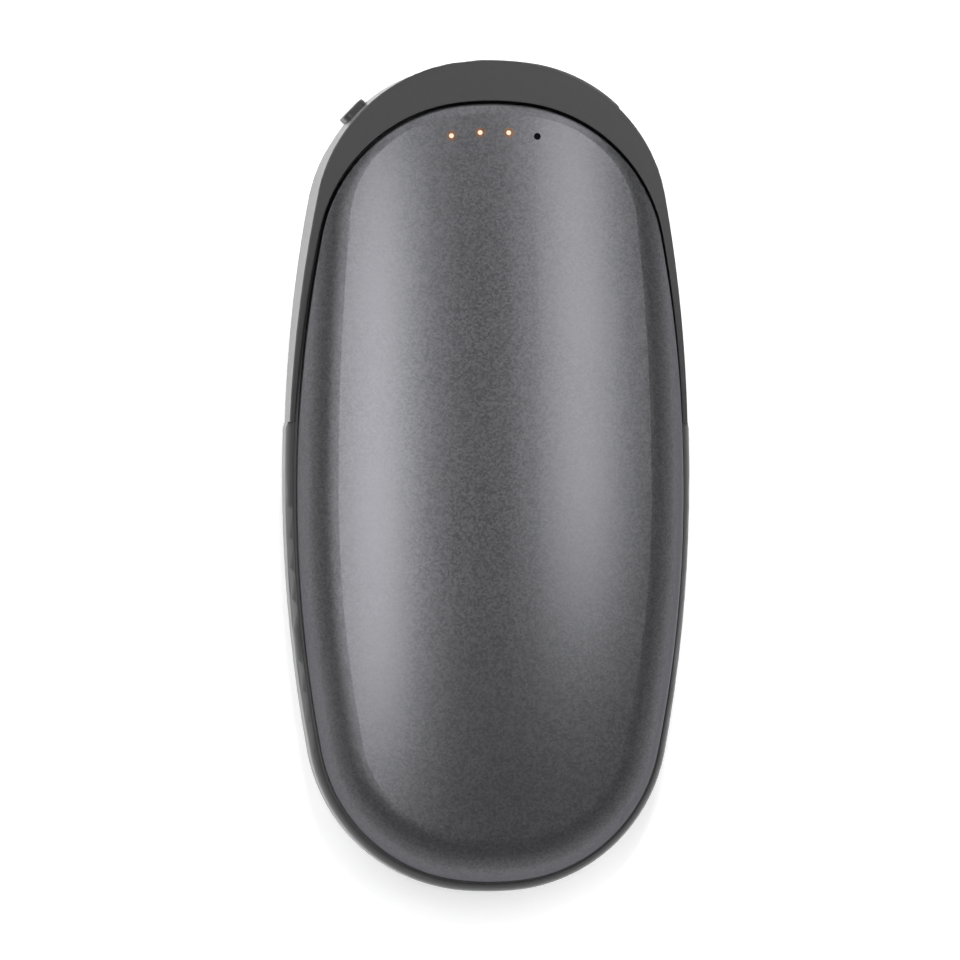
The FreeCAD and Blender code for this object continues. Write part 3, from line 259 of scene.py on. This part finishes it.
class Finish:
    """A material with one principled shader, and short ways to add nodes to it."""

    def __init__(self, name, colour, roughness, metallic=0.0):
        self.material = bpy.data.materials.new(name)
        self.material.use_nodes = True
        self.tree = self.material.node_tree
        self.shader = self.tree.nodes["Principled BSDF"]
        self.shader.inputs["Base Color"].default_value = opaque(colour)
        self.shader.inputs["Roughness"].default_value = roughness
        self.shader.inputs["Metallic"].default_value = metallic
        self.colour = colour
        self.roughness = roughness
        self.places = self.tree.nodes.new("ShaderNodeTexCoord").outputs["Object"]

    def feed(self, value, socket):
        """Give a socket a plain value, or link it to the output of another node."""
        if isinstance(value, bpy.types.NodeSocket):
            self.tree.links.new(value, socket)
        else:
            socket.default_value = value

    def set(self, name, value):
        self.feed(value, self.shader.inputs[name])

    def add(self, kind, settings=None, **inputs):
        """Add a node; inputs are plain values or the outputs of other nodes."""
        node = self.tree.nodes.new(kind)
        for name, value in (settings or {}).items():
            setattr(node, name, value)
        for name, value in inputs.items():
            self.feed(value, node.inputs[name.replace("_", " ")])
        return node

    def axis(self, name):
        return self.add("ShaderNodeSeparateXYZ", Vector=self.places).outputs[name]

    def stretched(self, scale):
        """Places scaled apart along X, Y and Z, for grain that runs one way."""
        return self.add("ShaderNodeMapping", Vector=self.places, Scale=scale).outputs["Vector"]

    def noise(self, scale, detail=3.0, places=None):
        node = self.add("ShaderNodeTexNoise", Vector=places or self.places, Scale=scale, Detail=detail)
        return node.outputs["Fac"]

    def sparkle(self, scale):
        """A level of its own, between 0 and 1, for each small grain."""
        grains = self.add("ShaderNodeTexVoronoi", {"feature": "F1"}, Vector=self.places, Scale=scale)
        return self.add("ShaderNodeSeparateColor", Color=grains.outputs["Color"]).outputs["Red"]

    def ranged(self, value, low, high, source_low=0.0, source_high=1.0):
        """The value, carried from its own span to another and held within it."""
        node = self.add("ShaderNodeMapRange", Value=value, From_Min=source_low, From_Max=source_high,
                        To_Min=low, To_Max=high)
        return node.outputs["Result"]

    def math(self, operation, first, second):
        node = self.add("ShaderNodeMath", {"operation": operation})
        self.feed(first, node.inputs[0])
        self.feed(second, node.inputs[1])
        return node.outputs[0]

    def mix(self, share, first, second):
        """The first colour where the share is 0, and the second where it is 1."""
        node = self.add("ShaderNodeMix", {"data_type": "RGBA"})
        self.feed(share, node.inputs[MIX_SHARE])
        for colour, place in ((first, MIX_FIRST), (second, MIX_SECOND)):
            plain = isinstance(colour, tuple)
            self.feed(opaque(colour) if plain else colour, node.inputs[place])
        return node.outputs[MIX_RESULT]

    def bump(self, height, strength, depth):
        node = self.add("ShaderNodeBump", Height=height, Strength=strength, Distance=depth)
        self.set("Normal", node.outputs["Normal"])

    def shade(self, factor):
        """The finish's own colour, darker or lighter by a factor."""
        return tuple(min(part * factor, 1.0) for part in self.colour)

    def vary_colour(self, value, shades):
        """Colour that runs between two shades of the finish as the value goes from 0 to 1."""
        low, high = shades
        self.set("Base Color", self.mix(value, self.shade(low), self.shade(high)))

    def vary_roughness(self, value, spread):
        self.set("Roughness", self.ranged(value, self.roughness - spread, self.roughness + spread))


def near_lit_light(finish, inner, outer):
    """How near a place is to a lit status light: 1 inside one radius, 0 outside another."""
    total = 0.0
    for x, y in LIT_LIGHTS:
        flat = finish.add("ShaderNodeVectorMath", {"operation": "MULTIPLY"})
        finish.feed(finish.places, flat.inputs[0])
        finish.feed((1.0, 1.0, 0.0), flat.inputs[1])
        gap = finish.add("ShaderNodeVectorMath", {"operation": "DISTANCE"})
        finish.feed(flat.outputs[0], gap.inputs[0])
        finish.feed((x, y, 0.0), gap.inputs[1])
        near = finish.ranged(gap.outputs["Value"], 1.0, 0.0, inner, outer)
        total = finish.math("ADD", total, near)
    return total


def blasted_metal(name):
    """Blasted and anodised metal, with its colour: fine pits, a little sparkle and faint handling marks."""
    finish = Finish(name, METAL_COLOUR, METAL_ROUGHNESS, metallic=1.0)
    finish.set("Specular Tint", opaque(METAL_EDGE_TINT))
    finish.bump(finish.noise(PIT_GRAIN, detail=2.0), PIT_STRENGTH, PIT_DEPTH)
    sparkle = finish.sparkle(SPARKLE_GRAIN)
    rough = finish.ranged(sparkle, METAL_ROUGHNESS, METAL_ROUGHNESS + SPARKLE_ROUGHNESS,
                          source_high=SPARKLE_FULL_SHARE)
    finish.set("Roughness", rough)
    low, high = SPARKLE_SHADES
    grain = finish.mix(sparkle, finish.shade(low), finish.shade(high))
    marks = finish.ranged(finish.noise(MARK_GRAIN, detail=4.0), 0.0, MARK_SHARE, *MARK_SPAN)
    colour = finish.mix(marks, grain, finish.shade(MARK_SHADE))
    finish.set("Base Color", colour)
    return finish, colour


def front_metal():
    """The front cover's metal, with painted glow round each lit light: a warm tint and a faint emission that
    stand in for the lights' spill on the metal.
    """
    finish, colour = blasted_metal("front_cover_metal")
    near = near_lit_light(finish, PAINTED_GLOW_INNER, PAINTED_GLOW_OUTER)
    # Painted glow: a warm tint and a faint emission near each lit light
    finish.set("Base Color", finish.mix(near, colour, PAINTED_GLOW_COLOUR))
    finish.set("Emission Color", opaque(PAINTED_GLOW_LIGHT))
    finish.set("Emission Strength", finish.math("MULTIPLY", near, PAINTED_GLOW_STRENGTH))
    return finish.material


def rear_metal():
    finish, _ = blasted_metal("rear_cover_metal")
    return finish.material


def moulded(name, colour, roughness, grain):
    """Moulded plastic with a fine etched skin."""
    finish = Finish(name, colour, roughness)
    skin = finish.noise(grain, detail=2.0)
    finish.bump(skin, MOULDED_BUMP, SKIN_DEPTH)
    finish.vary_roughness(skin, MOULDED_ROUGHNESS_SPREAD)
    finish.vary_colour(skin, MOULDED_SHADES)
    return finish.material


def brushed(name, colour, roughness, grain):
    """Drawn or rolled metal, with lines that run one way."""
    finish = Finish(name, colour, roughness, metallic=1.0)
    lines = finish.noise(1.0, places=finish.stretched(grain))
    finish.vary_colour(lines, BRUSHED_SHADES)
    finish.vary_roughness(lines, BRUSHED_ROUGHNESS_SPREAD)
    finish.bump(lines, BRUSHED_BUMP, SKIN_DEPTH)
    return finish.material


def rubber(name, colour):
    """Matt rubber with a soft bloom."""
    finish = Finish(name, colour, RUBBER_ROUGHNESS)
    finish.bump(finish.noise(RUBBER_GRAIN), RUBBER_BUMP, SKIN_DEPTH)
    finish.vary_colour(finish.noise(RUBBER_BLOTCHES, detail=5.0), RUBBER_SHADES)
    finish.set("Sheen Weight", RUBBER_SHEEN)
    return finish.material


def heater_film():
    """Amber film with the etched track showing through it."""
    finish = Finish("heater_film", FILM_COLOUR, FILM_ROUGHNESS)
    bands = finish.add("ShaderNodeTexWave", {"wave_type": "BANDS", "bands_direction": "Y"},
                       Vector=finish.places, Scale=TRACK_SCALE, Distortion=0.0)
    track = finish.ranged(bands.outputs["Fac"], 0.0, 1.0, *TRACK_SPAN)
    finish.set("Base Color", finish.mix(track, FILM_COLOUR, TRACK_COLOUR))
    finish.bump(track, FILM_BUMP, SKIN_DEPTH)
    return finish.material


def cell_wrap():
    """Shrunk sleeve, with the bare can at the end that has the cap."""
    finish = Finish("cell_wrap", WRAP_COLOUR, WRAP_ROUGHNESS)
    _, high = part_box("left_cell")
    bare = finish.math("GREATER_THAN", finish.axis("Y"), high.y - CAN_BARE)
    finish.set("Base Color", finish.mix(bare, WRAP_COLOUR, CAN_COLOUR))
    finish.set("Metallic", bare)
    finish.bump(finish.noise(WRAP_CREASES, detail=4.0), WRAP_BUMP, SKIN_DEPTH)
    finish.vary_roughness(finish.noise(WRAP_BLOTCHES, detail=4.0), WRAP_ROUGHNESS_SPREAD)
    return finish.material


def solder_mask():
    """Board with copper tracks under its mask."""
    finish = Finish("solder_mask", MASK_COLOUR, MASK_ROUGHNESS)
    bricks = finish.add("ShaderNodeTexBrick", {"offset": 0.5}, Vector=finish.places,
                        Scale=BOARD_TRACK_SCALE, Mortar_Size=BOARD_TRACK_WIDTH)
    track = bricks.outputs["Fac"]
    finish.set("Base Color", finish.mix(track, MASK_COLOUR, finish.shade(BOARD_TRACK_SHADE)))
    finish.bump(track, MASK_BUMP, SKIN_DEPTH)
    return finish.material


def guide_clear():
    """Clear guide: its three left tips glow, and the right pipe is painted near-black, as painted shade for
    its unlit light.
    """
    finish = Finish("guide_clear", GUIDE_COLOUR, GUIDE_ROUGHNESS)
    dark = finish.math("GREATER_THAN", finish.axis("X"), DARK_LIGHT_X)
    tip = finish.math("GREATER_THAN", finish.axis("Z"), MID_PLANE + TIP_HEIGHT)
    lit = finish.math("MULTIPLY", tip, finish.math("SUBTRACT", 1.0, dark))
    core = near_lit_light(finish, CORE_INNER, CORE_OUTER)
    clear = finish.mix(tip, GUIDE_COLOUR, finish.shade(GUIDE_TIP_SHADE))
    # Painted shade: the unlit light's pipe is coloured near-black
    finish.set("Base Color", finish.mix(dark, clear, UNLIT_PIPE_PAINTED_SHADE))
    finish.set("Specular IOR Level", finish.ranged(tip, GUIDE_GLOSS, 0.0))
    finish.set("Emission Color", finish.mix(core, RIM_COLOUR, CORE_COLOUR))
    finish.set("Emission Strength", finish.math("MULTIPLY", lit, finish.ranged(core, RIM_GLOW, 1.0)))
    finish.bump(finish.noise(GUIDE_GRAIN, detail=2.0), GUIDE_BUMP, SKIN_DEPTH)
    return finish.material


def light_chip():
    """White lamp body with a yellow lens."""
    finish = Finish("light_chip", LAMP_COLOUR, LAMP_ROUGHNESS)
    _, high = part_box("status_lights")
    lens = finish.math("GREATER_THAN", finish.axis("Z"), high.z - LENS_DEPTH)
    finish.set("Base Color", finish.mix(lens, LAMP_COLOUR, LENS_COLOUR))
    finish.vary_roughness(finish.noise(LAMP_BLOTCHES), LAMP_ROUGHNESS_SPREAD)
    return finish.material


def make_finishes():
    """Every material of the object, by name."""
    finishes = {
        "front_metal": front_metal(),
        "rear_metal": rear_metal(),
        "heater_film": heater_film(),
        "cell_wrap": cell_wrap(),
        "solder_mask": solder_mask(),
        "guide_clear": guide_clear(),
        "light_chip": light_chip(),
    }
    for name, (colour, roughness, grain) in MOULDED.items():
        finishes[name] = moulded(name, colour, roughness, grain)
    for name, (colour, roughness, grain) in BRUSHED.items():
        finishes[name] = brushed(name, colour, roughness, grain)
    for name, colour in RUBBERS.items():
        finishes[name] = rubber(name, colour)
    return finishes


def finish_nodes():
    """Give each piece its material in place of the plain one."""
    finishes = make_finishes()
    for node, name in NODE_FINISHES.items():
        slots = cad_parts[node].data.materials
        slots.clear()
        slots.append(finishes[name])


def is_leaning(face):
    """Whether a face is part of the collar's outer wall, which leans in on both sides of the middle."""
    leans = abs(abs(face.normal.z) - math.sin(math.radians(COLLAR_LEAN))) < COLLAR_LEAN_SLACK
    faces_out = face.normal.dot(face.center - COLLAR_MIDDLE) > 0.0
    return face.center.y > COLLAR_START and leans and faces_out


def upright_push(place, facing):
    """Move, along the collar's sloping face, that stands its wall upright; a smaller one at the shoulders."""
    height = place.z - MID_PLANE
    outward = Vector((facing.x, facing.y, 0.0)).normalized()
    share = 1.0 - SHOULDER_SHARE * abs(outward.x * outward.y)
    push = outward * abs(height) * math.tan(math.radians(COLLAR_LEAN)) * share
    push.z = math.copysign(COLLAR_RISE / COLLAR_RUN * push.y, height)
    return push


def stand_collar_upright():
    """Copy of the frame whose collar has an upright outer wall, except in the flap's recess."""
    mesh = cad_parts["mid_frame"].data.copy()
    normals = [Vector(corner.vector) for corner in mesh.corner_normals]
    wall = [face for face in mesh.polygons if is_leaning(face)]
    for face in wall:
        for corner in face.loop_indices:
            normals[corner].z = 0.0
            normals[corner].normalize()
    tree = BVHTree.FromPolygons([vertex.co.copy() for vertex in mesh.vertices],
                                [tuple(face.vertices) for face in wall])
    low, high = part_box("port_flap")
    for vertex in mesh.vertices:
        _, facing, _, _ = tree.find_nearest(vertex.co, COLLAR_EDGE)
        by_flap = all(first - RECESS_GAP < place < last + RECESS_GAP
                      for first, place, last in zip(low, vertex.co, high))
        if facing is not None and not by_flap:
            vertex.co += upright_push(vertex.co, facing)
    mesh.normals_split_custom_set(normals)
    upright = bpy.data.objects.new("upright_frame", mesh)
    bpy.context.collection.objects.link(upright)
    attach(upright, "housing")
    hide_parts("mid_frame")


def make_surround():
    """Soft light from all round, white near the floor and dimmer overhead."""
    world = bpy.data.worlds.new("surround")
    bpy.context.scene.world = world
    world.use_nodes = True
    tree = world.node_tree
    back = tree.nodes["Background"]
    back.inputs["Color"].default_value = opaque(WHITE)
    direction = tree.nodes.new("ShaderNodeTexCoord")
    parts = tree.nodes.new("ShaderNodeSeparateXYZ")
    level = tree.nodes.new("ShaderNodeMapRange")
    level.inputs["From Min"].default_value, level.inputs["From Max"].default_value = SURROUND_RISE
    level.inputs["To Min"].default_value = SURROUND_LOW
    level.inputs["To Max"].default_value = SURROUND_HIGH
    tree.links.new(direction.outputs["Generated"], parts.inputs["Vector"])
    tree.links.new(parts.outputs["Z"], level.inputs["Value"])
    tree.links.new(level.outputs["Result"], back.inputs["Strength"])


def seen_or_reflected(tree):
    """1 for rays from the camera, from a glossy surface or through glass, and 0 for diffuse light."""
    path = tree.nodes.new("ShaderNodeLightPath")
    total = path.outputs["Is Camera Ray"]
    for name in ("Is Glossy Ray", "Is Transmission Ray"):
        both = tree.nodes.new("ShaderNodeMath")
        both.operation = "MAXIMUM"
        tree.links.new(total, both.inputs[0])
        tree.links.new(path.outputs[name], both.inputs[1])
        total = both.outputs[0]
    return total


def floor_paper():
    """White paper that looks a little brighter than the light on it, and keeps shadows."""
    finish = Finish("floor_paper", FLOOR_COLOUR, FLOOR_ROUGHNESS)
    finish.set("Specular IOR Level", 0.0)
    finish.set("Emission Color", opaque(WHITE))
    glow = finish.math("MULTIPLY", seen_or_reflected(finish.tree), FLOOR_GLOW)
    finish.set("Emission Strength", glow)
    return finish.material


def make_floor():
    mesh = bpy.data.meshes.new("floor")
    half = FLOOR_SIZE / 2
    corners = [(-half, -half, 0.0), (half, -half, 0.0), (half, half, 0.0), (-half, half, 0.0)]
    mesh.from_pydata(corners, [], [(0, 1, 2, 3)])
    mesh.materials.append(floor_paper())
    floor = bpy.data.objects.new("floor", mesh)
    bpy.context.collection.objects.link(floor)


def place_facing(thing, place, target):
    """Put a light or camera at a place, facing a target, with its upright side along +Y."""
    back = (place - target).normalized()
    across = Vector((0.0, 1.0, 0.0)).cross(back).normalized()
    upright = back.cross(across)
    thing.location = place
    thing.rotation_mode = "QUATERNION"
    thing.rotation_quaternion = Matrix((across, upright, back)).transposed().to_quaternion()
    bpy.context.collection.objects.link(thing)


def add_light(name, place, target, size, power):
    """Add a flat light; its size is its width and its length along +Y."""
    data = bpy.data.lights.new(name, "AREA")
    data.shape = "RECTANGLE"
    data.size, data.size_y = size
    data.energy = power
    light = bpy.data.objects.new(name, data)
    place_facing(light, place, target)
    return light


def make_lights():
    for name, strip in STRIPS.items():
        lean = math.radians(strip["angle"])
        centre = Vector((0.0, (strip["start"] + strip["end"]) / 2, MID_PLANE))
        place = centre + Vector((math.sin(lean), 0.0, math.cos(lean))) * STRIP_DISTANCE
        add_light(name, place, centre, (strip["width"], strip["end"] - strip["start"]), strip["power"])
    add_light("top_light", TOP_LIGHT_PLACE, MIDDLE, (TOP_LIGHT_SIZE, TOP_LIGHT_SIZE), TOP_LIGHT_POWER)
    shade = add_light("shade_light", SHADE_LIGHT_PLACE, MIDDLE, (SHADE_LIGHT_SIZE, SHADE_LIGHT_SIZE),
                      SHADE_LIGHT_POWER)
    shade.visible_glossy = False


def make_camera():
    yaw = math.radians(CAMERA_YAW)
    pitch = math.radians(CAMERA_PITCH)
    back = Vector((-math.sin(yaw), -math.cos(yaw) * math.sin(pitch), math.cos(yaw) * math.cos(pitch)))
    data = bpy.data.cameras.new("camera")
    data.lens = CAMERA_LENS
    camera = bpy.data.objects.new("camera", data)
    place_facing(camera, AIM + back * CAMERA_DISTANCE, AIM)
    bpy.context.scene.camera = camera


finish_nodes()
stand_collar_upright()
make_surround()
make_floor()
make_lights()
make_camera()
bpy.context.scene.view_settings.view_transform = "Standard"
